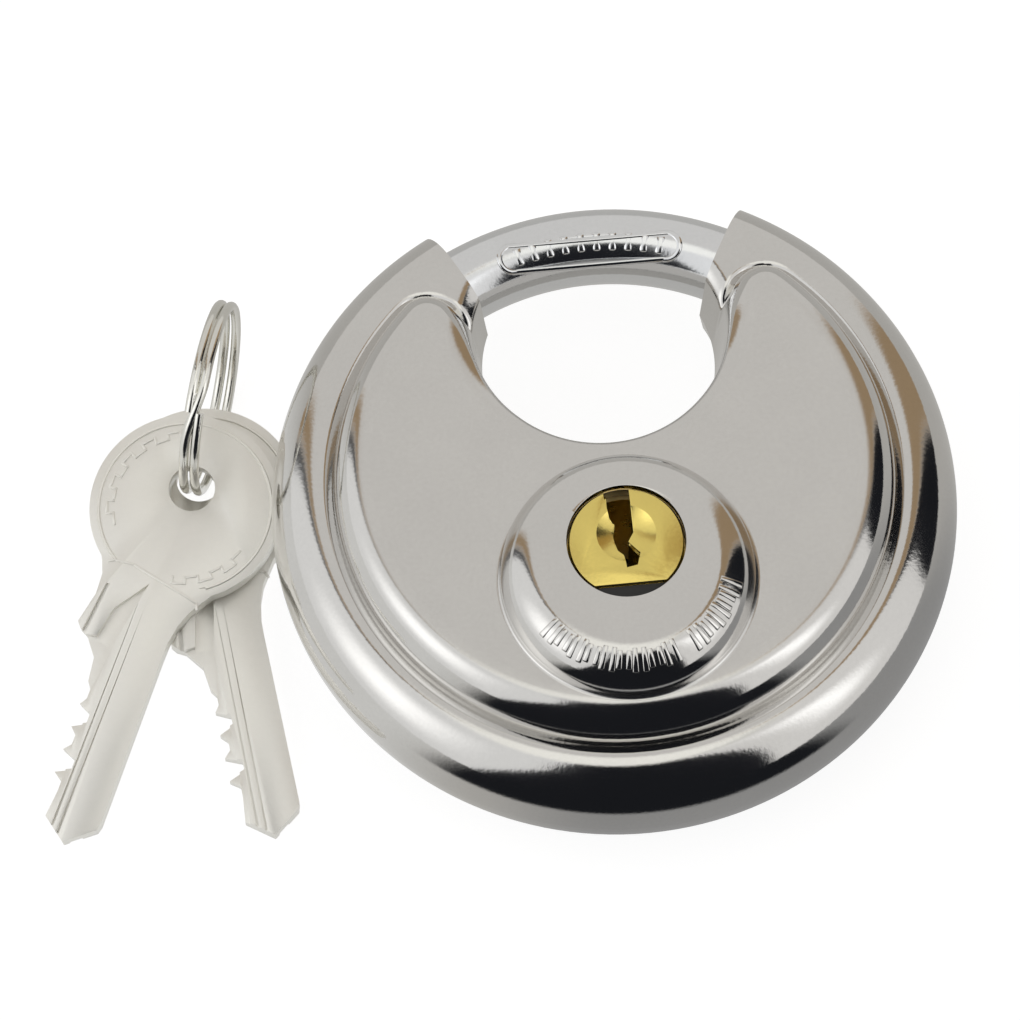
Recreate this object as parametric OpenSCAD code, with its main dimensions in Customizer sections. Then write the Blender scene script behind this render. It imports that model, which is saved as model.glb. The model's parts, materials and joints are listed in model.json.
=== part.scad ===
// Disc padlock of 70 mm, with its two keys on a split ring.
// It lies on its back: +Z is the normal of the front face, the mouth and the shackle are
// towards +Y, and the origin is on the disc axis in the plane of the back face.

/* [Case] */
// Outside diameter of the disc
disc_d = 70; // [69:0.5:72]
// Thickness from back face to front face, without the boss
case_t = 23.2; // [22.8:0.2:25]
// Thickness over the rounded rim
rim_t = 14.2; // [13.8:0.2:15]
// Diameter of the flat face
face_d = 50.4; // [49.6:0.2:51]
// Diameter of the crease between the face's shoulder and the rim
crease_d = 57; // [56.8:0.1:57.2]
// Diameter of the circle along the rim's crest
crest_d = 59.2; // [59:0.1:59.6]
// Depth of the crease below the rim's crest
crease_depth = 0.55; // [0.4:0.05:0.7]
// Thickness of the stainless sheet
sheet_t = 1.2; // [1:0.1:1.3]

/* [Mouth] */
// Diameter of the round mouth
mouth_d = 24; // [22:0.5:25]
// Distance from the disc axis to the mouth's centre
mouth_y = 15.5; // [15:0.25:16]
// Half of the angle between the two collars that the shackle crosses
mouth_half_angle = 28.5; // [27:0.5:29]
// Width of the mouth's turned-over lip
lip_w = 1.4; // [1:0.1:1.6]
// Widening of the mouth's wall from the middle plane to the lip
mouth_draft = 1; // [0.6:0.1:1.2]
// Angle from the middle of the mouth to the groove where the face ends before a collar
horn_angle = 35.7; // [34:0.1:37]

/* [Boss] */
// Diameter at the foot of the boss
boss_d = 26.1; // [25.6:0.1:26.4]
// Diameter of the boss's flat top
boss_top_d = 21.4; // [21:0.1:22]
// Height of the boss above the front face
boss_h = 4.5; // [4.4:0.1:5]
// Distance from the disc axis to the boss's centre
boss_y = 12.4; // [12.2:0.1:12.6]

/* [Shackle] */
// Diameter of the shackle bar
shackle_d = 7.8; // [7.4:0.1:7.8]
// Diameter of the circle along the bar's centre line
shackle_ring_d = 58.2; // [58:0.1:58.4]
// Angle from the middle of the mouth to the shackle's nose
shackle_nose_angle = 36.5; // [34:0.5:38]
// Angle from the middle of the mouth to the shackle's tail
shackle_tail_angle = 158; // [156:1:165]

/* [Lock cylinder] */
// Distance from the disc axis to the plug's axis
plug_y = 10.4; // [10.3:0.05:10.5]
// Diameter of the plug's barrel
plug_d = 11; // [10.9:0.05:11]
// Number of pin stacks
pin_count = 5; // [3:1:5]
// Distance between pin stacks
pin_pitch = 2.5; // [2.4:0.1:2.5]
// Diameter of a pin
pin_d = 1.9; // [1.6:0.1:1.9]
// Turn of the plug from locked to open
plug_turn = 106; // [100:1:106]
// Distance from the plug's axis to the drive arm's post
post_throw = 17.4; // [17.2:0.1:17.4]

/* [Keys] */
// Thickness of a key
key_t = 1.9; // [1.7:0.1:1.9]
// Diameter of a key's bow
bow_d = 19.8; // [18:0.2:19.8]
// Diameter of the hole in the bow
key_hole_d = 4.8; // [4.7:0.1:5]
// Outside diameter of the split ring
ring_d = 20.4; // [20.3:0.05:20.5]

/* [Hidden] */

$fn = 96;
far = 60;
half_t = case_t / 2;
crease_h = rim_t / 2 - crease_depth;
crest_r = crest_d / 2;
running = 0.1;
fit_gap = 0.15;
swing_gap = 0.2;
hole_gap = 0.05;

// heights of the lock cylinder, from the back face up
boss_top = case_t + boss_h;
plug_face = boss_top - 1.3;
guard_top = boss_top - sheet_t - 0.1;
guard_t = 1.4;
sleeve_top = guard_top - guard_t - 0.1;
sleeve_base = 9;
bible_top = case_t - sheet_t - 0.2;
sleeve_r = 7.2;
bible_w = 7;
bible_reach = 13.6;
head_r = 5.8;
hub_r = 4.2;
hub_flat = 3.5;
hub_base = 3.6;
step_r = 4.9;
arm_top = 7.55;
arm_thin = 1.1;
arm_thick = 2.25;
arm_half_w = 2.3;
post_r = 1.75;
notch_r = 2;
post_top = 14.4;
arm_root_r = 6.2;
thick_reach = 13;
clip_r = 5.6;
clip_t = 0.7;
groove_r = 3.3;
groove_z = hub_base + 0.7;
stop_radius = 9;
stop_r = 1;
stop_base = 2.2;
screw_r = 1.2;
screw_head_r = 2.2;
screw_base = 1.6;
screw_length = 15.9;
arm_angle = plug_turn / 2;
top_pin_z = 20.3;
pin_length = [3.3, 2.5, 3.9, 2.9, 3.5];
driver_length = 3;
shear_gap = 0.07;
spring_end = plug_y + bible_reach;
shear_r = plug_d / 2;

// where the keys and their ring lie, beside the rim on its left
ring_wire = 1;
ring_w = 1.9;
ring_lean = 16;
ring_at = [-40.5, 16, ring_d / 2 + 0.05];
keys_round = -1;
// for each key: its hole's distance from the ring's centre, the hole's height, turn and slope
key_lies = [[8.9, 5.6, -24, 8], [6.65, 2.3, 7.6, 3.35]];
key_length = 39.1;
shoulder_at = 17.5;
bow_offset = 2.1;
blade_left = -3.6;
blade_right = 3.2;
cut_depth = [0.7, 1.7, 0.9, 1.9, 1.2];

// angle about the disc axis at which the post stands when the plug is turned by a
function post_angle(a) = atan2(post_throw * sin(a), plug_y + post_throw * cos(a));

function arc(x, y, rx, ry, a0, a1, n) =
    [for (i = [0:n]) let (a = a0 + (a1 - a0) * i / n) [x + rx * cos(a), y + ry * sin(a)]];

// section of one half of the case, drawn a distance t inside its outer skin
function half_section(t) =
    let (flank = asin((crease_h - t) / (rim_t / 2 - t)),
         flank_w = (crest_r - crease_d / 2) / cos(asin(crease_h / (rim_t / 2))))
    concat([[0, t > 0 ? -1 : 0], [0, half_t - t]],
           arc(face_d / 2, crease_h - t, (crease_d - face_d) / 2 - t - 0.1, half_t - crease_h, 90, 0, 8),
           arc(crest_r, 0, -flank_w, rim_t / 2 - t, flank, 80, 4),
           arc(crest_r, 0, disc_d / 2 - crest_r - t, rim_t / 2 - t, 90, 0, 14),
           t > 0 ? [[disc_d / 2 - t, -1]] : []);

// the mouth: a round hole that widens from the middle plane up, and the gap between the
// collars, all grown by g
module mouth_cut(g) {
    along = [sin(mouth_half_angle), cos(mouth_half_angle)];
    out = [cos(mouth_half_angle), -sin(mouth_half_angle)] * g;
    near = along * 18 + out;
    past = along * 48 + out;
    narrow = mouth_d / 2 + g;
    wide = narrow + mouth_draft;
    translate([0, mouth_y, 0]) rotate_extrude()
        polygon([[0, -far / 2], [narrow, -far / 2], [narrow, 0], [wide, half_t], [wide, far / 2], [0, far / 2]]);
    translate([0, 0, -far / 2]) linear_extrude(far)
        polygon([[-near.x, near.y], [near.x, near.y], [past.x, past.y], [-past.x, past.y]]);
}

// what is missing above the rim's height between the face's two horns and the collars,
// for a skin a distance t inside the outer one
module horn_cut(t) {
    width = (crease_d - face_d) / 2;
    flat = rim_t / 2 - t + 0.1;
    reach = crease_d / 2 + 0.3;
    profile = concat([[-16, flat], [-1.2, flat]],
                     arc(width + t + 0.03, crease_h - t - 0.11, -width, half_t - crease_h + 0.3, 0, 90, 5),
                     [[width + t + 0.03, far], [-16, far]]);
    for (side = [-1, 1]) mirror([side < 0 ? 1 : 0, 0, 0]) rotate([0, 0, -horn_angle])
        translate([0, reach, 0]) rotate([90, 0, 0]) linear_extrude(reach - 19) polygon(profile);
}

module ring_tunnel(r) {
    rotate_extrude() translate([shackle_ring_d / 2, 0]) circle(r = r, $fn = 48);
}

// one half of the case, from the middle plane up
module half_case() {
    difference() {
        rotate_extrude() polygon(half_section(0));
        mouth_cut(0);
        horn_cut(0);
        translate([0, mouth_y, half_t - lip_w])
            cylinder(h = lip_w + 0.5, r1 = mouth_d / 2 + mouth_draft - 0.2, r2 = mouth_d / 2 + mouth_draft + lip_w + 0.3);
        difference() {
            rotate_extrude() polygon(half_section(sheet_t));
            mouth_cut(sheet_t);
            horn_cut(sheet_t);
        }
        ring_tunnel(shackle_d / 2 + 0.4);
    }
}

// a round boss with a curved flank, standing on height z
module boss(foot_r, top_r, h, z) {
    rotate_extrude()
        polygon(concat([[0, z - 1.5], [foot_r, z - 1.5]],
                       arc(top_r, z, foot_r - top_r, h, 0, 90, 10), [[0, z + h]]));
}

module front_shell() {
    color([0.75, 0.75, 0.74])
    translate([0, 0, half_t]) difference() {
        union() {
            half_case();
            difference() {
                translate([0, -boss_y, 0]) boss(boss_d / 2, boss_top_d / 2, boss_h, half_t);
                translate([0, 0, -1.2]) cylinder(h = half_t, r = disc_d / 2);
            }
        }
        translate([0, -boss_y, 0])
            boss(boss_d / 2 - sheet_t, boss_top_d / 2 - 0.3, boss_h - sheet_t, half_t);
        translate([0, -plug_y, half_t]) cylinder(h = far, r = head_r + 0.27);
    }
}

module rear_shell() {
    color([0.72, 0.72, 0.71])
    translate([0, 0, half_t]) mirror([0, 0, 1]) half_case();
}

module shackle() {
    color([0.8, 0.82, 0.85])
    difference() {
        translate([0, 0, half_t]) rotate([0, 0, 90 - shackle_tail_angle])
            rotate_extrude(angle = shackle_tail_angle + shackle_nose_angle)
                translate([shackle_ring_d / 2, 0]) circle(r = shackle_d / 2, $fn = 48);
        // the driving notch, open towards the disc axis
        rotate([0, 0, post_angle(arm_angle)]) {
            translate([-notch_r, -27.9, 0]) cube([2 * notch_r, 10, case_t]);
            translate([0, -27.9, 0]) cylinder(h = case_t, r = notch_r, $fn = 48);
        }
    }
}

// flat sector about the plug's axis, a degrees to each side of -Y
module sweep(r_in, r_out, z0, z1, a) {
    translate([0, -plug_y, z0]) rotate([0, 0, -90 - a])
        rotate_extrude(angle = 2 * a) translate([r_in, 0]) square([r_out - r_in, z1 - z0]);
}

module screw_places() {
    for (side = [-1, 1]) {
        translate([side * 19.5, -3, 0]) children();
        translate([side * 20, 9.5, 0]) children();
    }
}

// what the core leaves free for the lock cylinder and for the arm that turns the shackle
module core_pockets() {
    translate([0, -plug_y, sleeve_base - fit_gap]) cylinder(h = far, r = sleeve_r + fit_gap);
    translate([-bible_w / 2 - fit_gap, -spring_end - 0.7, sleeve_base - fit_gap])
        cube([bible_w + 2 * fit_gap, bible_reach + 0.7, far]);
    post_gap = post_r + swing_gap;
    arm_base = arm_top - arm_thick - swing_gap;
    sweep(post_throw - post_gap, post_throw + post_gap, arm_top - swing_gap, post_top + swing_gap,
          arm_angle + 8);
    sweep(0, post_throw + arm_half_w + swing_gap, arm_base, arm_top + swing_gap, arm_angle + 22);
    translate([0, -plug_y, arm_base])
        cylinder(h = sleeve_base - arm_base, r = arm_root_r + swing_gap);
    translate([0, -plug_y, hub_base - swing_gap]) cylinder(h = 3, r = clip_r + swing_gap);
}

module core_half() {
    difference() {
        rotate_extrude() polygon(half_section(sheet_t + fit_gap));
        mouth_cut(sheet_t + fit_gap);
        horn_cut(sheet_t + 4 * fit_gap);
        translate([-far, -far, -far]) cube([2 * far, 2 * far, far + 0.03]);
        ring_tunnel(shackle_d / 2 + running);
    }
}

module core_front() {
    color([0.62, 0.63, 0.66])
    difference() {
        translate([0, 0, half_t]) core_half();
        core_pockets();
        screw_places() cylinder(h = 18, r = screw_r + hole_gap, $fn = 32);
    }
}

module core_rear() {
    color([0.6, 0.61, 0.64])
    difference() {
        translate([0, 0, half_t]) mirror([0, 0, 1]) core_half();
        core_pockets();
        screw_places() {
            cylinder(h = case_t, r = screw_r + 2 * hole_gap, $fn = 32);
            cylinder(h = 3.4, r = screw_head_r + swing_gap, $fn = 32);
        }
        stop_places() translate([0, 0, stop_base - hole_gap])
            cylinder(h = case_t, r = stop_r + 0.02, $fn = 32);
    }
}

// four socket screws that draw the two core halves together
module core_screws() {
    color([0.45, 0.46, 0.48])
    screw_places() difference() {
        union() {
            translate([0, 0, screw_base]) cylinder(h = 1.7, r = screw_head_r, $fn = 32);
            translate([0, 0, screw_base]) cylinder(h = screw_length, r = screw_r, $fn = 32);
        }
        translate([0, 0, screw_base - 0.1]) cylinder(h = 1.1, r = screw_r - 0.1, $fn = 6);
    }
}

function pin_z(i) = top_pin_z - (i - 1) * pin_pitch;

module chambers(r, from, to) {
    for (i = [1:pin_count])
        translate([0, -plug_y - from, pin_z(i)]) rotate([90, 0, 0])
            cylinder(h = to - from, r = r, $fn = 32);
}

module cylinder_body() {
    color([0.78, 0.66, 0.32])
    difference() {
        union() {
            translate([0, -plug_y, sleeve_base])
                cylinder(h = sleeve_top - sleeve_base, r = sleeve_r);
            translate([-bible_w / 2, -spring_end, sleeve_base])
                cube([bible_w, bible_reach, bible_top - sleeve_base]);
        }
        translate([0, -plug_y, 0]) cylinder(h = far, r = shear_r + hole_gap);
        chambers(pin_d / 2 + hole_gap, 3, bible_reach + 1);
    }
}

// the keyway, seen from the front: open at the top of the plug, with wards on both sides
module keyway_plan() {
    polygon([[-1.5, 7], [-1.5, 3.4], [-0.9, 2.5], [-1.2, 1.2], [-0.7, -0.6], [-0.9, -2.8],
             [0.9, -2.8], [1.3, -1.2], [0.3, 0.4], [1.2, 1.8], [1.1, 7]]);
}

module plug() {
    color([0.82, 0.7, 0.33])
    translate([0, -plug_y, 0]) difference() {
        union() {
            difference() {
                translate([0, 0, sleeve_top + hole_gap])
                    cylinder(h = plug_face - sleeve_top - 0.4 - hole_gap, r = head_r);
                translate([-far / 2, -far - head_r + 1, 0]) cube([far, far, far]);
            }
            translate([0, 0, plug_face - 0.4]) difference() {
                cylinder(h = 0.4, r1 = head_r, r2 = head_r - 0.4);
                translate([-far / 2, -far - head_r + 1, -1]) cube([far, far, far]);
            }
            translate([0, 0, sleeve_base]) cylinder(h = sleeve_top - sleeve_base + 0.1, r = shear_r);
            translate([0, 0, arm_top + 0.1]) cylinder(h = sleeve_base - arm_top, r = step_r);
            intersection() {
                translate([0, 0, hub_base]) cylinder(h = 5, r = hub_r);
                translate([-hub_flat, -far / 2, 0]) cube([2 * hub_flat, far, far]);
            }
        }
        // groove for the clip
        translate([0, 0, groove_z]) difference() {
            cylinder(h = clip_t + 2 * hole_gap, r = far);
            translate([0, 0, -1]) cylinder(h = 3, r = groove_r);
        }
        translate([0, 0, hub_base + 0.8]) linear_extrude(far) keyway_plan();
        // the dimple that leads the key in
        translate([-0.2, 1, plug_face - 0.9]) cylinder(h = 0.91, r1 = 1.6, r2 = 3.15);
        for (i = [1:pin_count])
            translate([0, 0, pin_z(i)]) rotate([90, 0, 0])
                cylinder(h = far, r = pin_d / 2 + hole_gap, $fn = 32);
    }
}

// hardened plate under the boss, which turns a drill away from the lock cylinder
module guard_plate() {
    color([0.4, 0.41, 0.43])
    difference() {
        translate([0, -boss_y, guard_top - guard_t]) cylinder(h = guard_t, r = 9.2);
        translate([0, -plug_y, 0]) cylinder(h = far, r = head_r + 0.15);
    }
}

// strip that closes the outer ends of the pin chambers
module chamber_cover() {
    color([0.75, 0.62, 0.3])
    translate([-bible_w / 2 + 0.5, -spring_end - 0.6, sleeve_base + 0.1])
        cube([bible_w - 1, 0.58, bible_top - sleeve_base - 0.2]);
}

module arm_plan(reach) {
    circle(r = arm_root_r);
    translate([-arm_half_w, -reach]) square([2 * arm_half_w, reach]);
}

// steel arm on the plug's tail: its post stands in the shackle's notch
module drive_arm() {
    color([0.5, 0.51, 0.54])
    translate([0, -plug_y, 0]) rotate([0, 0, arm_angle]) {
        difference() {
            union() {
                translate([0, 0, arm_top - arm_thick]) linear_extrude(arm_thick) arm_plan(thick_reach);
                translate([0, 0, arm_top - arm_thin]) linear_extrude(arm_thin) arm_plan(post_throw);
                translate([0, -post_throw, arm_top - arm_thin]) cylinder(h = arm_thin, r = arm_half_w);
                translate([0, -post_throw, arm_top - 0.5]) cylinder(h = post_top - arm_top + 0.5, r = post_r);
            }
            rotate([0, 0, -arm_angle]) intersection() {
                cylinder(h = far, r = hub_r + hole_gap);
                translate([-hub_flat - hole_gap, -far / 2, 0])
                    cube([2 * (hub_flat + hole_gap), far, far]);
            }
        }
    }
}

// open spring clip that keeps the arm on the plug's tail
module tail_clip() {
    color([0.35, 0.36, 0.38])
    translate([0, -plug_y, groove_z + hole_gap]) difference() {
        cylinder(h = clip_t, r = clip_r);
        translate([0, 0, -1]) cylinder(h = 3, r = groove_r + hole_gap);
        translate([-clip_r / 2, -far, -1]) cube([clip_r, far, 3]);
    }
}

module stop_places() {
    for (side = [-1, 1])
        translate([0, -plug_y, 0]) rotate([0, 0, side * (arm_angle + 22.5)])
            translate([0, -stop_radius, 0]) children();
}

// two pins that end the arm's travel
module stop_pins() {
    color([0.42, 0.43, 0.45])
    stop_places() translate([0, 0, stop_base])
        cylinder(h = arm_top - stop_base, r = stop_r, $fn = 32);
}

module key_pin(i) {
    tip = 0.6;
    straight = pin_length[i - 1] - tip;
    color([0.85, 0.75, 0.4])
    translate([0, -plug_y - shear_r + hole_gap, pin_z(i)]) rotate([-90, 0, 0]) {
        cylinder(h = straight, r = pin_d / 2, $fn = 32);
        translate([0, 0, straight]) cylinder(h = tip, r1 = pin_d / 2, r2 = pin_d / 5, $fn = 32);
    }
}

module driver_pin(i) {
    color([0.7, 0.71, 0.73])
    translate([0, -plug_y - shear_r - shear_gap, pin_z(i)]) rotate([90, 0, 0])
        cylinder(h = driver_length, r = pin_d / 2, $fn = 32);
}

// a wire spring as one closed sweep along a helix
module pin_spring(i) {
    turns = 5;
    steps = 10;
    sides = 6;
    wire_r = 0.14;
    coil_r = pin_d / 2 - 0.2;
    clear = wire_r + 0.02;
    start = plug_y + shear_r + shear_gap + driver_length + clear;
    rise = (spring_end - clear - start) / (turns * steps);
    rings = turns * steps;
    pts = [for (k = [0:rings]) for (s = [0:sides - 1])
           let (a = 360 * k / steps, b = 360 * s / sides, r = coil_r + wire_r * cos(b))
           [r * cos(a), -start - rise * k + wire_r * sin(b), r * sin(a)]];
    walls = [for (k = [0:rings - 1]) for (s = [0:sides - 1])
             let (a = k * sides + s, b = k * sides + (s + 1) % sides)
             each [[a, b, b + sides], [a, b + sides, a + sides]]];
    ends = [[for (s = [sides - 1:-1:0]) s], [for (s = [0:sides - 1]) rings * sides + s]];
    color([0.6, 0.6, 0.62])
    translate([0, 0, pin_z(i)]) polyhedron(pts, concat(walls, ends));
}

// a key lying flat: its hole is at the origin, its blade points to -Y, its cuts are on -X
module flat_key() {
    difference() {
        linear_extrude(key_t) difference() {
            union() {
                translate([0, -bow_offset]) circle(d = bow_d);
                polygon(concat(
                    [[-6.6, -8], [-5.2, -13.2], [-6.2, -shoulder_at + 1], [-5, -shoulder_at], [blade_left, -shoulder_at - 2.4]],
                    [for (i = [0:pin_count - 1])
                     let (y = -shoulder_at - (plug_face - pin_z(i + 1)), x = blade_left + cut_depth[i])
                     each [[blade_left + 0.4, y + 1.1], [x, y + 0.45], [x, y - 0.45]]],
                    [[blade_left + 0.4, -key_length + 3.4], [0, -key_length], [blade_right, -key_length + 3],
                     [blade_right, -17], [4.6, -12.5], [7, -9.4], [6, -6]]));
            }
            circle(d = key_hole_d);
        }
        translate([-1.2, -key_length - 1, key_t - 0.45]) cube([1, key_length - 11, 1]);
        translate([0.6, -key_length - 1, -0.5]) cube([1, key_length - 16, 0.95]);
    }
}

// lays key i with its hole round the split ring and its blade sloping down to the table
module lay_key(i) {
    offset = key_lies[i - 1][0];
    rotate([0, 0, keys_round])
        translate([ring_at.x - offset * sin(ring_lean), ring_at.y - offset * cos(ring_lean), key_lies[i - 1][1]])
        rotate([0, 0, key_lies[i - 1][2]]) rotate([key_lies[i - 1][3], 0, 0]) flat_key();
}

module key_1() {
    color([0.8, 0.79, 0.72])
    lay_key(1);
}

module key_2() {
    color([0.78, 0.77, 0.7])
    lay_key(2);
}

module split_ring() {
    color([0.72, 0.72, 0.7])
    rotate([0, 0, keys_round]) translate(ring_at) rotate([0, 0, -ring_lean]) rotate([0, 90, 0]) rotate_extrude()
        translate([ring_d / 2 - ring_wire, -ring_w / 2]) square([ring_wire, ring_w]);
}

front_shell();
rear_shell();
shackle();
core_front();
core_rear();
core_screws();
cylinder_body();
plug();
guard_plate();
chamber_cover();
drive_arm();
tail_clip();
stop_pins();
for (i = [1:pin_count]) {
    key_pin(i);
    driver_pin(i);
    pin_spring(i);
}
key_1();
key_2();
split_ring();
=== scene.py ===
import json
import math

import bpy
from mathutils import Matrix, Vector


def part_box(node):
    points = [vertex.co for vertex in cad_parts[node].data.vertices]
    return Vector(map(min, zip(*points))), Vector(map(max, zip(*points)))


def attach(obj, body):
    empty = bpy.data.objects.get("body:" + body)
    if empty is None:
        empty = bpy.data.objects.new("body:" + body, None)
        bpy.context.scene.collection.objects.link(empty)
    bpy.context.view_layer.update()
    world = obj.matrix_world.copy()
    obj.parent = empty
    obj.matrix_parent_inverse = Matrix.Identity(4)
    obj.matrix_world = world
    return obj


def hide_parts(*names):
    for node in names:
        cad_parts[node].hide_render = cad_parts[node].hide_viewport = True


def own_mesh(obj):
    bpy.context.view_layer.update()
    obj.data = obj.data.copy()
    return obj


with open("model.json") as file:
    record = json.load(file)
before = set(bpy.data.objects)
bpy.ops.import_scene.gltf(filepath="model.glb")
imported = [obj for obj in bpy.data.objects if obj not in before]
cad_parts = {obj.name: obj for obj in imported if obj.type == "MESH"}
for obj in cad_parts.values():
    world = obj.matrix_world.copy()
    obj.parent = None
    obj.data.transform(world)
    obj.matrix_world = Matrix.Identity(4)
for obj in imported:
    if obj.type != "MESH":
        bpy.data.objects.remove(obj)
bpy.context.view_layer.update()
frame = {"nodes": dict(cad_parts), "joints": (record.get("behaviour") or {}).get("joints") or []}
bpy.ops.object.select_all(action="DESELECT")


# The table and the light round it: a pale table top, a grey back wall, two large soft
# lamps to the left and right of the front, and the dark room in the gaps between them.
# All of it is seen again in the polished steel, but what the steel sees of the table top is a painted
# reflection of light and shade.
MM = 0.001
LAMP = 1.5
DARK = (0.012, 0.013, 0.016)
BACK_WALL = (0.69, 0.675, 0.655)
WARM_WALL = (0.36, 0.26, 0.16)
CEILING = (1.08, 1.07, 1.02)
RIGHT_CLOTH = (0.83, 0.82, 0.81)
LEFT_CLOTH = (0.86, 0.86, 0.86)
PLAIN_LIGHT = (0.93, 0.93, 0.93)
STUDIO_TURN = 358.2


class Wire:
    """A value on its way through the nodes of one finish."""

    def __init__(self, tree, socket=None):
        self.tree = tree
        self.socket = socket

    def node(self, kind, settings, inputs, out=0):
        """Adds a node: its settings first, then the values or the wires of its sockets."""
        made = self.tree.nodes.new(kind)
        for name, value in settings.items():
            setattr(made, name, value)
        for name, value in inputs.items():
            if isinstance(value, Wire):
                self.tree.links.new(value.socket, made.inputs[name])
            else:
                made.inputs[name].default_value = value
        return Wire(self.tree, made.outputs[out])

    def math(self, operation, *values):
        return self.node("ShaderNodeMath", {"operation": operation}, dict(enumerate(values)))

    def __add__(self, other):
        return self.math("ADD", self, other)

    __radd__ = __add__

    def __mul__(self, other):
        return self.math("MULTIPLY", self, other)

    __rmul__ = __mul__

    def __sub__(self, other):
        return self.math("SUBTRACT", self, other)

    def __rsub__(self, other):
        return self.math("SUBTRACT", other, self)

    def rise(self, low, high):
        """0 below low and 1 above high, with a soft change between them."""
        return self.node("ShaderNodeMapRange", {"interpolation_type": "SMOOTHSTEP"},
                         {"Value": self, "From Min": low, "From Max": high})

    def between(self, low, high, soft):
        """1 from low to high, with soft edges."""
        return (self - low).rise(-soft, soft) * (self - high).rise(soft, -soft)

    def blend(self, first, second):
        """From the colour first, where this value is 0, to second, where it is 1."""
        colors = [c if isinstance(c, Wire) else (*c, 1) for c in (first, second)]
        inputs = {0: self, 6: colors[0], 7: colors[1]}
        return self.node("ShaderNodeMix", {"data_type": "RGBA"}, inputs, 2)


def directions(wire, vector):
    """The compass angle in degrees, clockwise from the back, and the three parts of a vector."""
    parts = [wire.node("ShaderNodeSeparateXYZ", {}, {0: vector}, k) for k in range(3)]
    turn = wire.math("ARCTAN2", parts[0], parts[1]) * (180 / math.pi)
    return wire.math("FLOORED_MODULO", turn + STUDIO_TURN, 360), parts


world = bpy.data.worlds.new("studio")
bpy.context.scene.world = world
world.use_nodes = True
sky = Wire(world.node_tree)
compass, way = directions(sky, sky.node("ShaderNodeTexCoord", {}, {}, "Generated"))
height = sky.math("ARCSINE", way[2]) * (180 / math.pi)
up = sky.math("MAXIMUM", height, 0)
right_lamp = (compass - (91 - 0.0064 * up * up)).rise(-2, 2) * (compass - 145).rise(2, -2)
right_lamp = right_lamp * (height - 78).rise(3, -3)
left_start = sky.math("MAXIMUM", 218 - 0.3 * height, 203)
left_lamp = (compass - left_start).rise(-2, 2) * (compass - 300).rise(3, -3)
right_power = compass.between(112, 128, 9) * height.between(22, 66, 14)
left_power = compass.between(232, 268, 16) * height.between(18, 55, 14)
light = compass.between(40, 62, 4).blend(BACK_WALL, WARM_WALL)
light = compass.between(305, 312, 3).blend(light, WARM_WALL)
light = compass.between(62, 220, 2).blend(light, DARK)
light = compass.between(298, 304, 2).blend(light, DARK)
light = right_lamp.blend(light, right_power.blend(RIGHT_CLOTH, (LAMP, LAMP, LAMP)))
light = left_lamp.blend(light, left_power.blend(LEFT_CLOTH, (LAMP, LAMP, LAMP)))
light = height.rise(73, 82).blend(light, CEILING)
to_eye = sky.node("ShaderNodeLightPath", {}, {}, "Is Camera Ray")
light = to_eye.blend(light, PLAIN_LIGHT)
background = world.node_tree.nodes["Background"]
background.inputs["Strength"].default_value = 1
world.node_tree.links.new(light.socket, background.inputs["Color"])

bpy.ops.mesh.primitive_circle_add(vertices=96, radius=3, fill_type="NGON")
table = bpy.context.object
table.name = "table_top"
paint = bpy.data.materials.new("pale_table_painted_reflection")
paint.use_nodes = True
top = Wire(paint.node_tree)
compass, way = directions(top, top.node("ShaderNodeTexCoord", {}, {}, "Object"))
# Painted reflection: for every ray but the camera's the table glows with a painted grey that changes
# with the bearing round the lock, darker from 90 to 200 degrees and lighter from 225 to 300, and with a
# painted dark band from about 60 mm out between 135 and 222 degrees. This is painted shade of the dark
# room, there for the steel to mirror.
painted_reflection = compass.between(90, 200, 15).blend((0.50, 0.49, 0.47), (0.33, 0.33, 0.33))
painted_reflection = compass.between(225, 300, 15).blend(painted_reflection, (0.75, 0.75, 0.74))
reach = top.math("SQRT", way[0] * way[0] + way[1] * way[1])
painted_reflection = (compass.between(135, 222, 6) * reach.rise(56 * MM, 64 * MM)).blend(painted_reflection, DARK)
seen = top.node("ShaderNodeEmission", {}, {"Color": (0.86, 0.86, 0.86, 1)})
lit = top.node("ShaderNodeBsdfDiffuse", {}, {"Color": (0.3, 0.3, 0.3, 1)})
both = top.node("ShaderNodeAddShader", {}, {0: seen, 1: lit})
# The painted reflection glows for all rays but the camera's; the camera sees an even pale glow with
# faint real shade from the diffuse part.
painted_reflection_glow = top.node("ShaderNodeEmission", {}, {"Color": painted_reflection})
to_eye = top.node("ShaderNodeLightPath", {}, {}, "Is Camera Ray")
cover = top.node("ShaderNodeMixShader", {}, {0: to_eye, 1: painted_reflection_glow, 2: both})
paint.node_tree.links.new(cover.socket, paint.node_tree.nodes["Material Output"].inputs["Surface"])
table.data.materials.append(paint)

AIM = Vector((-10.63, 0.61, 11.52)) * MM
EYE_COMPASS = math.radians(-4.38)
EYE_TILT = math.radians(22.22)
EYE_ROLL = math.radians(-1.30)
EYE_DISTANCE = 592.28
turn = Matrix.Rotation(EYE_COMPASS, 4, "Z") @ Matrix.Rotation(EYE_TILT, 4, "X")
turn = turn @ Matrix.Rotation(EYE_ROLL, 4, "Z")
bpy.ops.object.camera_add()
camera = bpy.context.object
camera.data.lens = 204.54
camera.data.clip_end = 20
camera.matrix_world = Matrix.Translation(AIM + turn.to_3x3() @ Vector((0, 0, EYE_DISTANCE * MM))) @ turn
bpy.context.scene.camera = camera
bpy.context.scene.view_settings.view_transform = "Standard"


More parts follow.
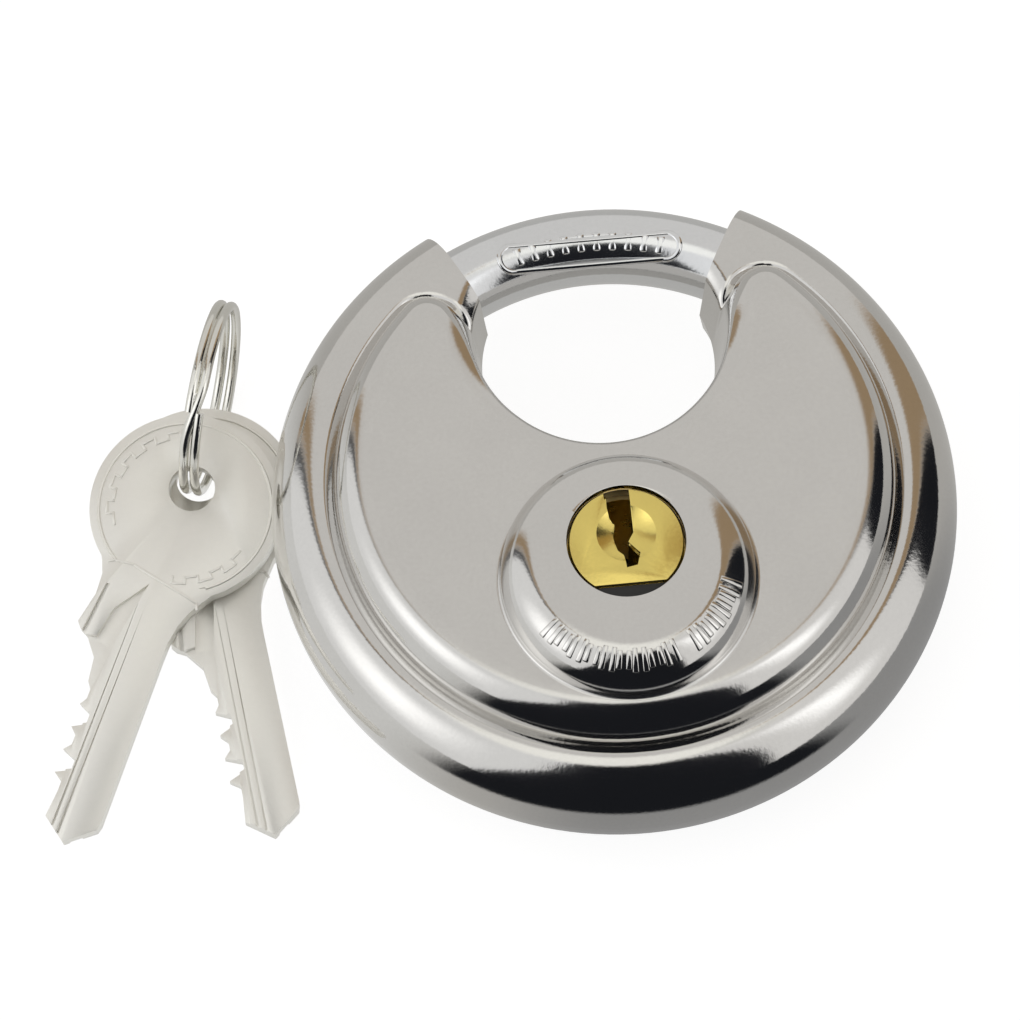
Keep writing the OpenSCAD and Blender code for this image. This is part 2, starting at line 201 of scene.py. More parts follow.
# The case: two halves pressed from 1.2 mm stainless sheet and polished to a mirror, each
# with a flat satin face, a round shoulder, a crease and a full round rim. They meet edge
# to edge round the rim and round the mouth.
DISC_R = 35
CREST_R = 29.6
RIM_H = 7.1
CREASE_R = 28.5
CREASE_H = 6.55
HALF_T = 11.6
SHOULDER = 3.3
SHEET = 1.2
MOUTH = (0, 15.5)
MOUTH_R = 12
LIP_R = 13
COLLAR = math.radians(28.5)
HORN = math.radians(35.7)
NEAR = math.radians(41)
CORNER = 4
CREASE_W = 1.1
BOSS = (0, -12.5)
BOSS_OPENING = 10.9


def horn_share(bearing):
    """1 at the mouth's two horns, and 0 at the back of the mouth, by the bearing in degrees."""
    return min(max((135 - bearing) / 40, 0), 1)


def lip_width(share):
    """The lip is a little wider at the horns, in mm."""
    return 1.5 + 1.2 * share


def lip_drop(x, y):
    """How far the turned-over lip of the mouth lies below the face."""
    share = horn_share(math.degrees(math.atan2(abs(x - MOUTH[0]), y - MOUTH[1])))
    out = (math.hypot(x - MOUTH[0], y - MOUTH[1]) - LIP_R) / lip_width(share)
    if out >= 1:
        return 0
    return (1 + 0.5 * share) * (1 - math.sqrt(1 - (1 - max(out, 0)) ** 2))


def case_height(x, y):
    """Height of the pressed surface over the middle plane of the case, in mm."""
    reach = math.hypot(x, y)
    if reach > CREST_R:
        return RIM_H * math.sqrt(max(1 - ((reach - CREST_R) / (DISC_R - CREST_R)) ** 2, 0))
    inside = CREASE_R - reach
    beside = abs(x) * math.cos(HORN) - y * math.sin(HORN) if reach > LIP_R else SHOULDER
    edge = min(inside, beside)
    if inside < CORNER and beside < CORNER and reach > LIP_R:
        edge = CORNER - math.hypot(CORNER - inside, CORNER - beside)
    if edge > 0:
        rise = 1 - min(edge / SHOULDER, 1)
        high = CREASE_H + (HALF_T - CREASE_H) * math.sqrt(1 - rise * rise)
    else:
        high = CREASE_H + (RIM_H - CREASE_H) * math.sin(min(-edge / CREASE_W, 1) * math.pi / 2)
    return high - lip_drop(x, y)


def on_mouth(turn, radius):
    """Where a line from the disc's axis at this bearing meets a circle round the mouth's centre."""
    reach = MOUTH[1] * math.cos(turn) + math.sqrt(radius ** 2 - (MOUTH[1] * math.sin(turn)) ** 2)
    return math.atan2(reach * math.sin(turn), reach * math.cos(turn) - MOUTH[1])


def case_half(name, columns=300):
    """One pressed half, its surface only, lying on the middle plane and facing up."""
    rows = 78
    bpy.ops.mesh.primitive_grid_add(x_subdivisions=columns, y_subdivisions=rows - 1, size=1)
    half = bpy.context.object
    half.name = name
    near_lip = on_mouth(NEAR, LIP_R)
    lines = []
    for i in range(columns + 1):
        share = 1 - abs(2 * i / columns - 1)
        turn = COLLAR + (math.pi - COLLAR) * (0.35 * share + 0.65 * share * share)
        past = min(max((turn - NEAR) / math.radians(25), 0), 1)
        past = past * past * (3 - 2 * past)
        near_turn = min(turn, NEAR)
        lip = on_mouth(near_turn, LIP_R)
        s = max(turn - NEAR, 0) / (math.pi - NEAR)
        lip += (math.pi - near_lip) * (s + 2.5 * s * (1 - s) ** 2)
        side = -1 if i > columns / 2 else 1
        start = Vector((side * math.sin(lip), math.cos(lip)))
        end = Vector((side * math.sin(turn), math.cos(turn)))
        edge = Vector(MOUTH) + start * LIP_R
        drop = case_height(*edge)
        line = []
        for k in range(6):
            radius = MOUTH_R + k / 6
            radial = on_mouth(near_turn, radius) - on_mouth(near_turn, LIP_R)
            bearing = lip + radial * (1 - past)
            x = MOUTH[0] + side * radius * math.sin(bearing)
            line.append((x, MOUTH[1] + radius * math.cos(bearing), drop * k / 6))
        start = (end * (1 - past) + start * past).normalized()
        lip_end = edge + start * lip_width(horn_share(math.degrees(lip)))
        plan = [edge + (lip_end - edge) * (k / 11) ** 1.6 for k in range(12)]
        crease = end * CREASE_R
        face_end = end * max(CREASE_R - SHOULDER, min(lip_end.length + 0.2, CREASE_R - 0.5))
        plan += [lip_end + (face_end - lip_end) * k / 24 for k in range(1, 25)]
        plan += [face_end + (crease - face_end) * math.sin(k / 14 * math.pi / 2) for k in range(1, 15)]
        plan += [end * (CREASE_R + k * 0.22) for k in range(1, 6)]
        rim = [CREST_R + (DISC_R - CREST_R) * math.sin(k / 17 * math.pi / 2) for k in range(1, 18)]
        plan += [end * reach for reach in rim]
        line += [(p.x, p.y, case_height(p.x, p.y)) for p in plan]
        lines.append(line)
    for vertex in half.data.vertices:
        i = round((vertex.co.x + 0.5) * columns)
        k = round((vertex.co.y + 0.5) * (rows - 1))
        vertex.co = Vector(lines[i][k]) * MM
    return half


def apply_modifier(piece, kind, **settings):
    """Adds a modifier to a piece and makes it part of its mesh."""
    bpy.context.view_layer.objects.active = piece
    modifier = piece.modifiers.new(kind, kind)
    for name, value in settings.items():
        setattr(modifier, name, value)
    bpy.ops.object.modifier_apply(modifier=modifier.name)


def only(piece):
    """Selects one piece and nothing else."""
    bpy.ops.object.select_all(action="DESELECT")
    piece.select_set(True)
    bpy.context.view_layer.objects.active = piece


def pick(piece, test, mode="FACE"):
    """Goes into edit mode with just the faces or vertices that pass the test selected."""
    only(piece)
    bpy.ops.object.mode_set(mode="EDIT")
    bpy.ops.mesh.select_mode(type=mode)
    bpy.ops.mesh.select_all(action="DESELECT")
    bpy.ops.object.mode_set(mode="OBJECT")
    for item in piece.data.polygons if mode == "FACE" else piece.data.vertices:
        item.select = test(item.center if mode == "FACE" else item.co)
    bpy.ops.object.mode_set(mode="EDIT")


def smooth(piece, degrees):
    """Shades a piece smooth, apart from its edges sharper than this."""
    only(piece)
    bpy.ops.object.shade_smooth_by_angle(angle=math.radians(degrees))


def steel(name, roughness, face_roughness, tint=(0.70, 0.69, 0.67)):
    """Polished stainless sheet: a mirror on the curves and a fine satin grain on the flat face."""
    finish = bpy.data.materials.new(name)
    finish.use_nodes = True
    shader = finish.node_tree.nodes["Principled BSDF"]
    wire = Wire(finish.node_tree)
    place = wire.node("ShaderNodeTexCoord", {}, {}, "Object")
    z = wire.node("ShaderNodeSeparateXYZ", {}, {0: place}, 2)
    from_middle = wire.math("ABSOLUTE", z - HALF_T * MM)
    flat = from_middle.between((HALF_T - 0.12) * MM, (HALF_T + 0.2) * MM, 0.1 * MM)
    cloud = wire.node("ShaderNodeTexNoise", {}, {"Vector": place, "Scale": 160, "Detail": 3})
    speck = wire.node("ShaderNodeTexNoise", {}, {"Vector": place, "Scale": 2600, "Detail": 2})
    shader.inputs["Metallic"].default_value = 1
    links = finish.node_tree.links
    shade = (cloud * 0.5 + speck * 0.5).blend([c * 0.93 for c in tint], [min(c * 1.07, 1) for c in tint])
    links.new(shade.socket, shader.inputs["Base Color"])
    rough = roughness + (face_roughness - roughness) * flat + 0.06 * (cloud - 0.5)
    links.new(rough.socket, shader.inputs["Roughness"])
    grain = {"Strength": 0.25, "Distance": 0.00002, "Height": speck + cloud}
    links.new(wire.node("ShaderNodeBump", {}, grain).socket, shader.inputs["Normal"])
    return finish


polished = steel("polished_stainless", 0.09, 0.2)
front = case_half("front_half")
pick(front, lambda c: math.hypot(c.x - BOSS[0] * MM, c.y - BOSS[1] * MM) < BOSS_OPENING * MM)
bpy.ops.mesh.delete(type="FACE")
bpy.ops.object.mode_set(mode="OBJECT")
rear = case_half("rear_half", 220)
rear.data.transform(Matrix.Scale(-1, 4, Vector((0, 0, 1))))
rear.data.flip_normals()
HORN_CORNER = (13.5, 20)
for half, node in ((front, "front_shell"), (rear, "rear_shell")):
    half.data.transform(Matrix.Translation((0, 0, HALF_T * MM)))
    thin = half.vertex_groups.new(name="thin")
    for vertex in half.data.vertices:
        x, y = abs(vertex.co.x) / MM, vertex.co.y / MM
        away = math.hypot(x - HORN_CORNER[0], y - HORN_CORNER[1])
        thin.add([vertex.index], min(max(away / 8, 0.22), 1), "REPLACE")
    apply_modifier(half, "SOLIDIFY", thickness=SHEET * MM, offset=-1,
                   use_even_offset=False, vertex_group="thin")
    half.vertex_groups.clear()
    smooth(half, 38)
    half.data.materials.append(polished)
    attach(half, "case")
    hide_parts(node)


# The boss: a low round hood pressed out of the front sheet and polished with it, with a
# round hole for the lock cylinder and a row of plain raised bars round its lower half.
BOSS_FOOT = 12.75
BOSS_TOP = 8.6
BOSS_SKIRT = 13.15
BOSS_H = 4.5
HOLE_R = 5.95
HOLE = (0, -10.4)


def boss_height(reach):
    """Height of the hood over the face at a distance from its centre, in mm."""
    if reach > BOSS_FOOT:
        lift = min((reach - BOSS_FOOT) / (BOSS_SKIRT - BOSS_FOOT), 1)
        return 0.35 * (1 - math.sqrt(1 - (1 - lift) ** 2))
    out = max((reach - BOSS_TOP) / (BOSS_FOOT - BOSS_TOP), 0)
    return 0.35 + (BOSS_H - 0.35) * math.sqrt(1 - out * out)


def lathe(name, centre, profile, sides=128):
    """A turned sheet: a circle drawn out step by step along a profile of (radius, height)."""
    reach, high = profile[0]
    middle = Vector((centre[0], centre[1], high)) * MM
    bpy.ops.mesh.primitive_circle_add(vertices=sides, radius=reach * MM, location=middle)
    piece = bpy.context.object
    piece.name = name
    bpy.ops.object.mode_set(mode="EDIT")
    bpy.ops.mesh.select_mode(type="EDGE")
    bpy.ops.mesh.select_all(action="SELECT")
    for wide, up in profile[1:]:
        bpy.ops.mesh.extrude_region_move(TRANSFORM_OT_translate={"value": (0, 0, (up - high) * MM)})
        bpy.ops.transform.resize(value=(wide / reach, wide / reach, 1), center_override=middle)
        reach, high = wide, up
    bpy.ops.object.mode_set(mode="OBJECT")
    piece.data.transform(piece.matrix_world)
    piece.matrix_world = Matrix.Identity(4)
    return piece


steps = [BOSS_SKIRT - (BOSS_SKIRT - BOSS_FOOT) * k / 6 for k in range(7)]
steps += [BOSS_TOP + (BOSS_FOOT - BOSS_TOP) * math.cos(k / 16 * math.pi / 2) for k in range(1, 17)]
steps += [BOSS_TOP - k for k in (0.5, 1.2)]
hood = lathe("boss_hood", BOSS, [(r, 2 * HALF_T + boss_height(r)) for r in steps])
pick(hood, lambda c: math.hypot(c.x, c.y - BOSS[1] * MM) < (BOSS_TOP - 1.1) * MM, "VERT")
bpy.ops.mesh.edge_face_add()
bpy.ops.mesh.select_all(action="SELECT")
bpy.ops.mesh.normals_make_consistent(inside=False)
bpy.ops.object.mode_set(mode="OBJECT")
if sum(face.normal.z * face.area for face in hood.data.polygons) < 0:
    hood.data.flip_normals()
apply_modifier(hood, "SOLIDIFY", thickness=SHEET * MM, offset=-1)
bpy.ops.mesh.primitive_cylinder_add(vertices=128, radius=HOLE_R * MM, depth=20 * MM,
                                    location=(HOLE[0], HOLE[1] * MM, (2 * HALF_T + BOSS_H) * MM))
cutter = bpy.context.object
apply_modifier(hood, "BOOLEAN", operation="DIFFERENCE", object=cutter, solver="EXACT")
bpy.data.objects.remove(cutter)
apply_modifier(hood, "BEVEL", width=0.22 * MM, segments=2, limit_method="ANGLE",
               angle_limit=math.radians(50))
smooth(hood, 30)
apply_modifier(hood, "WEIGHTED_NORMAL", keep_sharp=True, weight=100)
hood.data.materials.append(polished)
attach(hood, "case")


def mark(length, width, rise, place, turn=0, edge=0.35):
    """A small raised bar with rounded edges, lying flat round its place."""
    bpy.ops.mesh.primitive_cube_add(size=1)
    piece = bpy.context.object
    piece.data.transform(Matrix.Diagonal((length * MM, width * MM, 2 * rise * MM, 1)))
    apply_modifier(piece, "BEVEL", width=min(length, width, rise) * edge * MM, segments=2,
                   limit_method="NONE")
    spin = Matrix.Rotation(math.radians(turn), 4, "Z")
    piece.data.transform(Matrix.Translation(Vector(place) * MM) @ spin)
    return piece


def join(pieces, name):
    """Several meshes as one piece."""
    bpy.ops.object.select_all(action="DESELECT")
    for piece in pieces:
        piece.select_set(True)
    bpy.context.view_layer.objects.active = pieces[0]
    if len(pieces) > 1:
        bpy.ops.object.join()
    pieces[0].name = name
    return pieces[0]


RIDGE_R = 10.4
RIDGE_STEP = 4.35
RIDGE_START = 126
RIDGE_GAP = (18, 19)
ridges = []
for k in range(30):
    if k in RIDGE_GAP:
        continue
    ridge = mark(0.55, 2.2 if k % 4 < 2 else 1.7, 0.22, (0, 0, 0))
    bearing = math.radians(RIDGE_START + RIDGE_STEP * k + (0.5 if k % 2 else -0.5))
    for vertex in ridge.data.vertices:
        reach = RIDGE_R * MM + vertex.co.y
        along = bearing + vertex.co.x / (RIDGE_R * MM)
        lift = (2 * HALF_T + boss_height(reach / MM)) * MM + vertex.co.z
        x = BOSS[0] * MM - reach * math.sin(along)
        vertex.co = (x, BOSS[1] * MM + reach * math.cos(along), lift)
    ridge.data.flip_normals()
    ridges.append(ridge)
ridges = join(ridges, "boss_ridges")
smooth(ridges, 50)
ridges.data.materials.append(polished)
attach(ridges, "case")


# The shackle: a bar of hardened steel bent to a three-quarter circle and plated. A notch
# near its tail takes the post of the drive arm. An oval is stamped on its crown.
BAR_R = 3.9
RING_R = 29.1
NOSE = 36.5
TAIL = 158
NOTCH = 33.66
NOTCH_R = 2
NOTCH_REACH = 27.9
bpy.ops.mesh.primitive_circle_add(vertices=64, radius=BAR_R * MM, rotation=(math.pi / 2, 0, 0))
bar = bpy.context.object
bar.name = "shackle_bar"
bar.data.transform(bar.matrix_world)
bar.matrix_world = Matrix.Identity(4)
bar.data.transform(Matrix.Translation((RING_R * MM, 0, HALF_T * MM)))
bar.data.transform(Matrix.Rotation(math.radians(90 + NOSE), 4, "Z"))
pick(bar, lambda c: True, "VERT")
bpy.ops.mesh.spin(steps=110, angle=math.radians(NOSE + TAIL), center=(0, 0, 0), axis=(0, 0, 1))
bpy.ops.mesh.select_all(action="SELECT")
bpy.ops.mesh.fill_holes(sides=0)
bpy.ops.mesh.normals_make_consistent(inside=False)
bpy.ops.object.mode_set(mode="OBJECT")
if sum(face.normal.dot(face.center - Vector((0, 0, HALF_T * MM))) for face in bar.data.polygons) < 0:
    bar.data.flip_normals()
notch_turn = Matrix.Rotation(math.radians(NOTCH), 4, "Z")
bpy.ops.mesh.primitive_cylinder_add(vertices=48, radius=NOTCH_R * MM, depth=20 * MM,
                                    location=(0, -NOTCH_REACH * MM, HALF_T * MM))
bpy.ops.object.mode_set(mode="EDIT")
bpy.ops.mesh.primitive_cube_add(size=1, location=(0, (5 - NOTCH_REACH) * MM, HALF_T * MM),
                                scale=(2 * NOTCH_R * MM, 10 * MM, 20 * MM))
bpy.ops.object.mode_set(mode="OBJECT")
cutter = bpy.context.object
cutter.data.transform(notch_turn @ cutter.matrix_world)
cutter.matrix_world = Matrix.Identity(4)
apply_modifier(bar, "BOOLEAN", operation="DIFFERENCE", object=cutter, solver="EXACT", use_self=True)
bpy.data.objects.remove(cutter)
apply_modifier(bar, "BEVEL", width=0.5 * MM, segments=3, limit_method="ANGLE",
               angle_limit=math.radians(60))
smooth(bar, 38)
plated = steel("plated_shackle_steel", 0.12, 0.12, (0.78, 0.79, 0.80))
bar.data.materials.append(plated)
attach(bar, "shackle")
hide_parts("shackle")

STAMP_LONG = 9.3
STAMP_HIGH = 1.5
STAMP_MIDDLE = 0.5
STAMP_LEAN = 106
STAMP_RELIEF = 0.33
STAMP_BARS = 10
STAMP_PITCH = 1.62
bpy.ops.mesh.primitive_torus_add(major_segments=64, minor_segments=10, major_radius=STAMP_HIGH * MM,
                                 minor_radius=0.3 * MM)
oval = bpy.context.object
for vertex in oval.data.vertices:
    vertex.co.x += math.copysign((STAMP_LONG - STAMP_HIGH) * MM, vertex.co.x)
bars = [mark(0.85, 2.0, 0.28, (-7.3 + STAMP_PITCH * k, 0, 0), edge=0.95) for k in range(STAMP_BARS)]
stamp = join([oval, *bars], "crown_stamp")
for vertex in stamp.data.vertices:
    lean = math.radians(STAMP_LEAN) - vertex.co.y / (BAR_R * MM)
    reach = (BAR_R - 0.02) * MM + STAMP_RELIEF * vertex.co.z
    wide = RING_R * MM + reach * math.cos(lean)
    along = math.radians(STAMP_MIDDLE) + vertex.co.x / (27.6 * MM)
    vertex.co = (wide * math.sin(along), wide * math.cos(along), HALF_T * MM + reach * math.sin(lean))
smooth(stamp, 50)
stamp.data.materials.append(plated)
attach(stamp, "shackle")


# Everything inside the case: cast core halves, socket screws, the brass cylinder with its
# pins and springs, the guard plate, the drive arm and its clip. Each keeps its plain shape
# and gets the surface of its own metal.
def metal(name, tint, roughness, grain, spread=0.12, metallic=1):
    """A metal surface with cloudy colour and fine grain."""
    finish = bpy.data.materials.new(name)
    finish.use_nodes = True
    shader = finish.node_tree.nodes["Principled BSDF"]
    wire = Wire(finish.node_tree)
    place = wire.node("ShaderNodeTexCoord", {}, {}, "Object")
    cloud = wire.node("ShaderNodeTexNoise", {}, {"Vector": place, "Scale": grain / 8, "Detail": 3})
    speck = wire.node("ShaderNodeTexNoise", {}, {"Vector": place, "Scale": grain, "Detail": 4})
    shader.inputs["Metallic"].default_value = metallic
    darker = [c * (1 - spread) for c in tint]
    lighter = [min(c * (1 + spread), 1) for c in tint]
    shade = (0.6 * cloud + 0.4 * speck).blend(darker, lighter)
    finish.node_tree.links.new(shade.socket, shader.inputs["Base Color"])
    rough = roughness + 0.12 * (cloud - 0.5)
    finish.node_tree.links.new(rough.socket, shader.inputs["Roughness"])
    texture = {"Strength": 0.4, "Distance": 0.00003, "Height": speck}
    bump = wire.node("ShaderNodeBump", {}, texture)
    finish.node_tree.links.new(bump.socket, shader.inputs["Normal"])
    return finish


cast = metal("cast_core", (0.36, 0.36, 0.37), 0.5, 1400, 0.2)
hardened = metal("hardened_dark_steel", (0.26, 0.26, 0.27), 0.38, 2200)
cylinder_brass = metal("cylinder_brass", (0.80, 0.60, 0.26), 0.28, 2400)
pin_steel = metal("pin_steel", (0.66, 0.66, 0.67), 0.22, 3000)
plug_brass = metal("plug_brass", (0.87, 0.70, 0.21), 0.24, 2600, 0.08)
surfaces = {"core_front": cast, "core_rear": cast, "core_screws": hardened, "guard_plate": hardened,
            "drive_arm": hardened, "tail_clip": hardened, "stop_pins": hardened,
            "cylinder_body": cylinder_brass, "chamber_cover": cylinder_brass, "plug": plug_brass}
PINS = 5
for i in range(1, PINS + 1):
    surfaces[f"key_pin_{i}"] = cylinder_brass
    surfaces[f"driver_pin_{i}"] = pin_steel
for node, finish in surfaces.items():
    mesh = frame["nodes"][node].data
    mesh.materials.clear()
    mesh.materials.append(finish)


# The pin springs: wound from thin steel wire. Each stands on the chamber cover.
for i in range(1, PINS + 1):
    coil = frame["nodes"][f"pin_spring_{i}"].copy()
    coil.data = coil.data.copy()
    coil.name = f"driver_spring_{i}"
    bpy.context.scene.collection.objects.link(coil)
    pick(coil, lambda c: True, "VERT")
    bpy.ops.mesh.remove_doubles(threshold=0.000001)
    bpy.ops.object.mode_set(mode="OBJECT")
    smooth(coil, 50)
    coil.data.materials.clear()
    coil.data.materials.append(pin_steel)
    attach(coil, "case")
    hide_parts(f"pin_spring_{i}")
    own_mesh(coil)


# The face of the plug: brass, turned and milled, with a dimple that leads the key in, a
# crooked keyway and a flat at its lowest edge.
PLUG_TOP = 27.35
PLUG_R = 5.62
PLUG_FACE_T = 0.93
PLUG_FLAT = 4.35
DIMPLE_R = 5.6
DIMPLE_DEPTH = 0.85
bpy.ops.mesh.primitive_cylinder_add(vertices=96, radius=PLUG_R * MM, depth=PLUG_FACE_T * MM,
                                    location=(0, HOLE[1] * MM, (PLUG_TOP - PLUG_FACE_T / 2) * MM))
face = bpy.context.object
face.name = "plug_face"
face.data.transform(face.matrix_world)
face.matrix_world = Matrix.Identity(4)


def carve(piece, plan, low, high):
    """Cuts a flat-bottomed pocket with the outline of plan out of a piece."""
    bpy.ops.mesh.primitive_circle_add(vertices=len(plan), radius=1, fill_type="NGON")
    tool = bpy.context.object
    for vertex, (x, y) in zip(tool.data.vertices, plan):
        vertex.co = (x * MM, y * MM, low * MM)
    bpy.ops.object.mode_set(mode="EDIT")
    bpy.ops.mesh.select_all(action="SELECT")
    bpy.ops.mesh.extrude_region_move(TRANSFORM_OT_translate={"value": (0, 0, (high - low) * MM)})
    bpy.ops.mesh.select_all(action="SELECT")
    bpy.ops.mesh.normals_make_consistent(inside=False)
    bpy.ops.object.mode_set(mode="OBJECT")
    apply_modifier(piece, "BOOLEAN", operation="DIFFERENCE", object=tool, solver="EXACT")
    bpy.data.objects.remove(tool)


flat_y = HOLE[1] - PLUG_FLAT
carve(face, [(-7, flat_y), (7, flat_y), (7, -22), (-7, -22)], 20, 30)
dimple = Vector((0.1, HOLE[1] + 0.95, PLUG_TOP - DIMPLE_DEPTH + DIMPLE_R)) * MM
bpy.ops.mesh.primitive_uv_sphere_add(segments=96, ring_count=64, radius=DIMPLE_R * MM, location=dimple)
bowl = bpy.context.object
apply_modifier(face, "BOOLEAN", operation="DIFFERENCE", object=bowl, solver="EXACT")
bpy.data.objects.remove(bowl)
keyway = [(-1.75, 7), (-1.75, 5), (-1.35, 2.5), (-0.95, 2.2), (-1.25, 1.3), (-1.05, -0.45),
          (-0.35, -1.2), (-0.2, -2.7), (0.9, -2.5), (1.3, -1.1), (0.25, 0.35), (0.85, 1.3), (0.8, 7)]
carve(face, [(x, HOLE[1] + y) for x, y in keyway], 20, 30)
apply_modifier(face, "BEVEL", width=0.14 * MM, segments=2, limit_method="ANGLE",
               angle_limit=math.radians(45))
smooth(face, 30)
face.data.materials.append(plug_brass)
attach(face, "plug")


# The plug's shade plate: a thin black plate let into the step that the flat leaves.
# It is painted shade, standing in for the shadow that lies in that step.
SHADE_PLATE_T = 0.3
SHADE_PLATE_DEPTH = 0.75
bpy.ops.mesh.primitive_cylinder_add(vertices=96, radius=PLUG_R * MM, depth=SHADE_PLATE_T * MM,
                                    location=(0, HOLE[1] * MM, (PLUG_TOP - SHADE_PLATE_DEPTH) * MM))
shade_plate = bpy.context.object
shade_plate.name = "plug_painted_shade_plate"
shade_plate.data.transform(shade_plate.matrix_world)
shade_plate.matrix_world = Matrix.Identity(4)
flat_y -= 0.05
carve(shade_plate, [(-7, flat_y), (7, flat_y), (7, 0), (-7, 0)], 20, 30)
apply_modifier(shade_plate, "BEVEL", width=0.06 * MM, segments=2, limit_method="ANGLE",
               angle_limit=math.radians(45))
smooth(shade_plate, 30)
# Near-black finish: painted shade for the step below the flat.
shade_plate.data.materials.append(metal("painted_shade_black", (0.05, 0.05, 0.05), 0.45, 2200))
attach(shade_plate, "plug")


# The split ring: spring steel wire wound to two turns and nickel plated. The first turn
# steps over to the second behind the crown, and the two ends lie against the turns.
ring_low, ring_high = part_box("split_ring")
ring_middle = (ring_low + ring_high) / 2
RING_WIRE = 0.5
RING_LEAN = math.radians(-17)
ring_reach = (ring_high.z - ring_low.z) / 2 - RING_WIRE * MM
bpy.ops.mesh.primitive_grid_add(x_subdivisions=220, y_subdivisions=12, size=1)
ring = bpy.context.object
ring.name = "split_ring_wire"
for vertex in ring.data.vertices:
    along = (vertex.co.x + 0.5) * 4 * math.pi
    round_wire = (vertex.co.y + 0.5) * 2 * math.pi
    step = min(max((along - 2 * math.pi + 0.35) / 0.7, 0), 1)
    step = step * step * (3 - 2 * step)
    spread = RING_WIRE + 0.14 * (1 - math.cos(along - 0.8)) / 2
    side = (2 * step - 1) * spread * MM + RING_WIRE * MM * math.sin(round_wire)
    reach = ring_reach + RING_WIRE * MM * math.cos(round_wire)
    turn = along + 1.0
    vertex.co = (side, -reach * math.cos(turn), reach * math.sin(turn))
pick(ring, lambda c: True, "VERT")
bpy.ops.mesh.remove_doubles(threshold=0.00001)
bpy.ops.mesh.fill_holes(sides=0)
bpy.ops.mesh.normals_make_consistent(inside=False)
bpy.ops.object.mode_set(mode="OBJECT")
ring.data.transform(Matrix.Translation(ring_middle) @ Matrix.Rotation(RING_LEAN, 4, "Z"))
smooth(ring, 50)
ring.data.materials.append(metal("bright_nickel", (0.80, 0.79, 0.74), 0.12, 2500, 0.06))
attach(ring, "key_ring")
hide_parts("split_ring")


# The two keys: stamped from nickel silver, with a milled and cut blade, a countersunk hole
# and a plain coined border round the bow. They hang on the split ring, one on the other.
KEY_T = 1.9
BOW_R = 9.9
BOW_Y = -2.1
TIP_Y = -39.1
KEY_HOLE_R = 2.4
BORDER_R = 8.95
BORDER_WIDTH = 0.26
BORDER_RISE = 0.12
EDGING_R = 7.78
STRIP_DEPTH = 0.75
CUTS = (0.7, 1.7, 0.9, 1.9, 1.2)
bow = [(BOW_R * math.sin(math.radians(a)), BOW_Y + BOW_R * math.cos(math.radians(a)))
       for a in range(-139, 139, 3)]
right = [(5.8, -10.1), (5.0, -11.3), (4.2, -12.6), (3.6, -14.2), (3.25, -16.2), (3.2, -18),
         (3.2, TIP_Y + 2.9), (3.0, TIP_Y + 2.2), (0.1, TIP_Y)]
left = [(-2.6, TIP_Y + 2.1)]
for k in range(4, -1, -1):
    y = -17.5 - 6.1 - 2.5 * k
    left += [(-3.5 + CUTS[k], y - 0.55), (-3.5 + CUTS[k], y + 0.45), (-3.3, y + 1.2)]
left += [(-3.6, -19.9), (-5.0, -18.0), (-5.9, -17.5), (-6.35, -16.9), (-5.6, -13.6), (-5.7, -11.4),
         (-6.2, -10.1)]
outline = bow + right + left
bpy.ops.mesh.primitive_circle_add(vertices=len(outline), radius=1, fill_type="NGON")
key = bpy.context.object
for vertex, (x, y) in zip(key.data.vertices, outline):
    vertex.co = (x * MM, y * MM, 0)
bpy.ops.object.mode_set(mode="EDIT")
bpy.ops.mesh.select_all(action="SELECT")
bpy.ops.mesh.normals_make_consistent(inside=False)
bpy.ops.mesh.extrude_region_move(TRANSFORM_OT_translate={"value": (0, 0, KEY_T * MM)})
bpy.ops.mesh.select_all(action="SELECT")
bpy.ops.mesh.normals_make_consistent(inside=False)
bpy.ops.object.mode_set(mode="OBJECT")
strip = [(-0.7, -10.9), (-1.2, -13.5), (-2.15, -18.6), (-2.15, -45), (-9, -45), (-9, -18.3),
         (-4.0, -17.8), (-3.3, -14.5)]
carve(key, strip, KEY_T - STRIP_DEPTH, 5)
carve(key, [(-4.95, -12.2), (-4.6, -12.2), (-5.25, -19), (-5.75, -19)], KEY_T - 0.5, 5)
for x, wide in ((-1.55, 0.32), (-0.75, 0.3)):
    groove = [(x - wide / 2, -45), (x + wide / 2, -45), (x + wide / 2 + 0.3, -13.2),
              (x - wide / 2 + 0.6, -13.2)]
    carve(key, groove, KEY_T - 0.3, 5)
carve(key, [(0.6, -45), (1.7, -45), (1.7, -19), (0.6, -19)], -5, 0.5)
corners = [2 * math.pi * k / 64 for k in range(64)]
carve(key, [(KEY_HOLE_R * math.sin(a), KEY_HOLE_R * math.cos(a)) for a in corners], -5, 5)
apply_modifier(key, "BEVEL", width=0.13 * MM, segments=2, limit_method="ANGLE",
               angle_limit=math.radians(40))

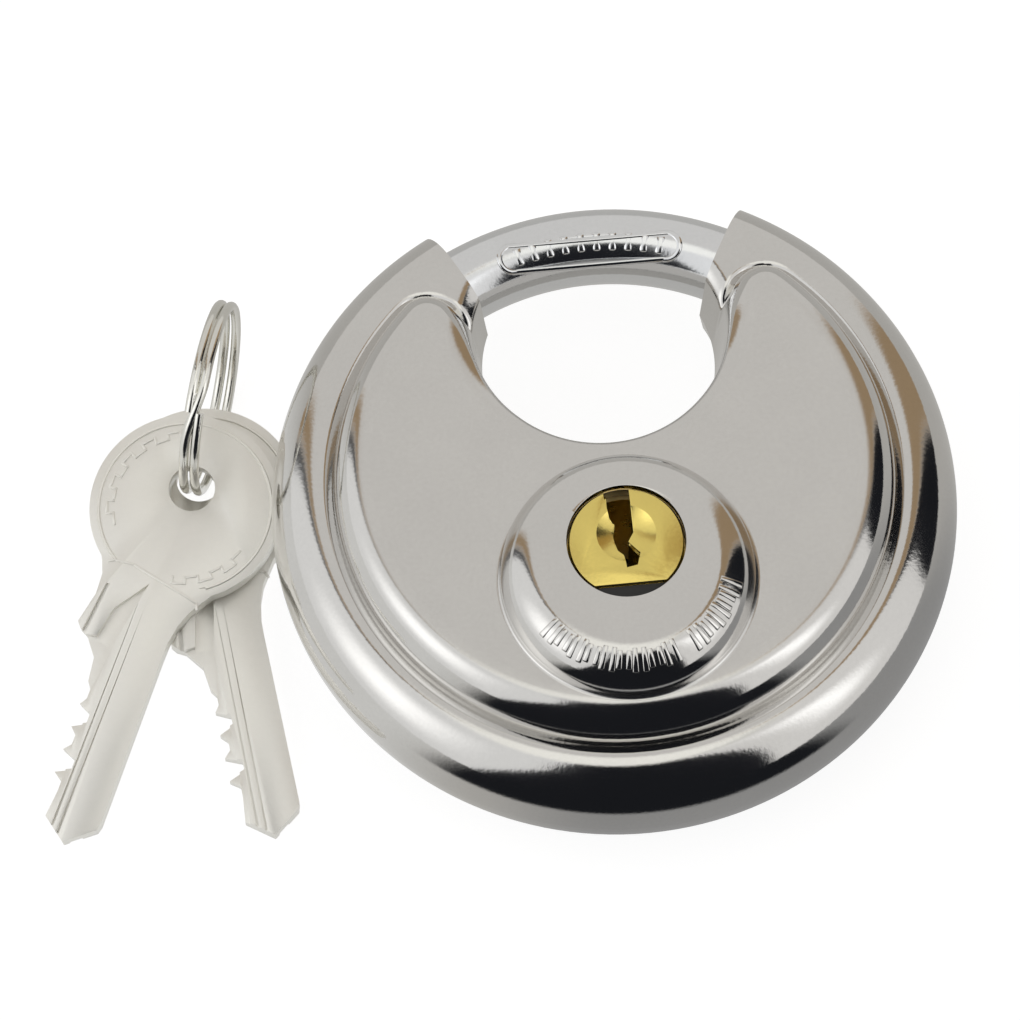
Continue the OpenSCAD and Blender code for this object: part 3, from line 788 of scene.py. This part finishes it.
lines = []
bpy.ops.mesh.primitive_torus_add(major_segments=96, minor_segments=6, major_radius=BORDER_R * MM,
                                 minor_radius=0.17 * MM, location=(0, BOW_Y * MM, KEY_T * MM))
rim = bpy.context.object
rim.data.transform(rim.matrix_world)
rim.matrix_world = Matrix.Identity(4)
pick(rim, lambda c: c.y < -9.9 * MM, "VERT")
bpy.ops.mesh.delete(type="VERT")
bpy.ops.mesh.select_all(action="SELECT")
bpy.ops.mesh.fill_holes(sides=0)
bpy.ops.object.mode_set(mode="OBJECT")
lines.append(rim)
for start, count in ((-18, 11), (115, 6)):
    for k in range(count):
        bearing = start - 10 * k if start < 0 else start + 10 * k
        reach = EDGING_R + 0.32 if k % 2 else EDGING_R - 0.33
        turn = math.radians(bearing)
        spot = (reach * math.sin(turn), BOW_Y + reach * math.cos(turn), KEY_T)
        lines.append(mark(1.35, BORDER_WIDTH, BORDER_RISE, spot, -bearing))
        turn = math.radians(bearing + 5)
        spot = (EDGING_R * math.sin(turn), BOW_Y + EDGING_R * math.cos(turn), KEY_T)
        lines.append(mark(BORDER_WIDTH, 0.9, BORDER_RISE, spot, -bearing - 5))
for a, b in (((-5.6, -10.0), (-4.9, -9.6)), ((-4.9, -9.6), (-2.9, -9.5)), ((-2.9, -9.5), (4.6, -11.3)),
             ((4.6, -11.3), (4.9, -12.0))):
    long = math.hypot(b[0] - a[0], b[1] - a[1])
    slope = math.degrees(math.atan2(b[1] - a[1], b[0] - a[0]))
    middle = ((a[0] + b[0]) / 2, (a[1] + b[1]) / 2, KEY_T)
    lines.append(mark(long + 0.1, BORDER_WIDTH, BORDER_RISE, middle, slope))
border = join(lines, "key_border")
key = join([key, border], "key_1_blank")
smooth(key, 40)
nickel = metal("nickel_silver", (0.93, 0.915, 0.86), 0.36, 1800, 0.04, metallic=0.6)
key.data.materials.append(nickel)
second = key.copy()
second.data = key.data.copy()
second.name = "key_2_blank"
bpy.context.scene.collection.objects.link(second)
joints = {joint["name"]: joint for joint in frame["joints"]}
for piece, node, turn, slope in ((key, "key_1", -25, 8), (second, "key_2", 6.6, 3.35)):
    spot = Matrix.Translation(joints[f"{node}_swing"]["pos_m"])
    spot = spot @ Matrix.Rotation(math.radians(turn), 4, "Z")
    spot = spot @ Matrix.Rotation(math.radians(slope), 4, "X")
    piece.data.transform(spot)
    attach(piece, node)
    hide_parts(node)
